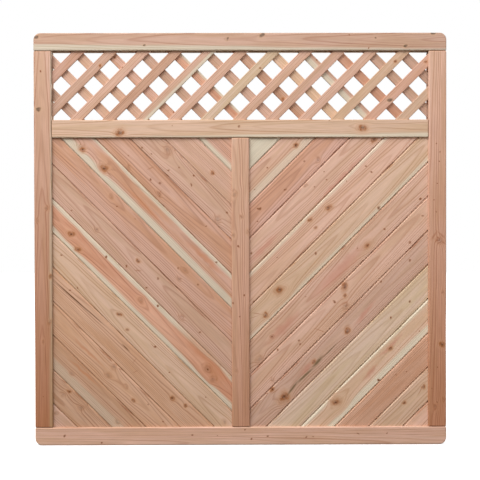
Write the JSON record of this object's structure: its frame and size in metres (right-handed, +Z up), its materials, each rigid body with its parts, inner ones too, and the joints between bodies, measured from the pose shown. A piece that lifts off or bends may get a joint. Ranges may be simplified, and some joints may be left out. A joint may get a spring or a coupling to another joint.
{
  "type": "privacy fence panel",
  "caption": "Wooden privacy fence panel: grooved frame, tongue and groove boards laid in a V on either side of a centre mullion, and an open diagonal lattice along the top.",
  "frame": {"origin": "middle of the underside of the bottom rail, halfway through the frame's depth", "axes": "+Z up the panel, +X along it to the right as seen from the front, -Y out of the front, the side with the V joints"},
  "size_m": [1.8, 0.045, 1.8],
  "materials": {
    "frame_wood": "planed softwood, untreated",
    "board_wood": "planed softwood, untreated",
    "lattice_wood": "planed softwood, untreated",
    "fixing_steel": "stainless steel"
  },
  "bodies": {
    "root": {"top_rail": "frame_wood", "bottom_rail": "frame_wood", "left_stile": "frame_wood", "right_stile": "frame_wood", "middle_rail": "frame_wood", "centre_mullion": "frame_wood", "left_board_01": "board_wood", "left_board_02": "board_wood", "left_board_03": "board_wood", "left_board_04": "board_wood", "left_board_05": "board_wood", "left_board_06": "board_wood", "left_board_07": "board_wood", "left_board_08": "board_wood", "left_board_09": "board_wood", "left_board_10": "board_wood", "left_board_11": "board_wood", "left_board_12": "board_wood", "left_board_13": "board_wood", "left_board_14": "board_wood", "right_board_01": "board_wood", "right_board_02": "board_wood", "right_board_03": "board_wood", "right_board_04": "board_wood", "right_board_05": "board_wood", "right_board_06": "board_wood", "right_board_07": "board_wood", "right_board_08": "board_wood", "right_board_09": "board_wood", "right_board_10": "board_wood", "right_board_11": "board_wood", "right_board_12": "board_wood", "right_board_13": "board_wood", "right_board_14": "board_wood", "lattice_front_01": "lattice_wood", "lattice_front_02": "lattice_wood", "lattice_front_03": "lattice_wood", "lattice_front_04": "lattice_wood", "lattice_front_05": "lattice_wood", "lattice_front_06": "lattice_wood", "lattice_front_07": "lattice_wood", "lattice_front_08": "lattice_wood", "lattice_front_09": "lattice_wood", "lattice_front_10": "lattice_wood", "lattice_front_11": "lattice_wood", "lattice_front_12": "lattice_wood", "lattice_front_13": "lattice_wood", "lattice_back_01": "lattice_wood", "lattice_back_02": "lattice_wood", "lattice_back_03": "lattice_wood", "lattice_back_04": "lattice_wood", "lattice_back_05": "lattice_wood", "lattice_back_06": "lattice_wood", "lattice_back_07": "lattice_wood", "lattice_back_08": "lattice_wood", "lattice_back_09": "lattice_wood", "lattice_back_10": "lattice_wood", "lattice_back_11": "lattice_wood", "lattice_back_12": "lattice_wood", "lattice_back_13": "lattice_wood"}
  },
  "joints": []
}
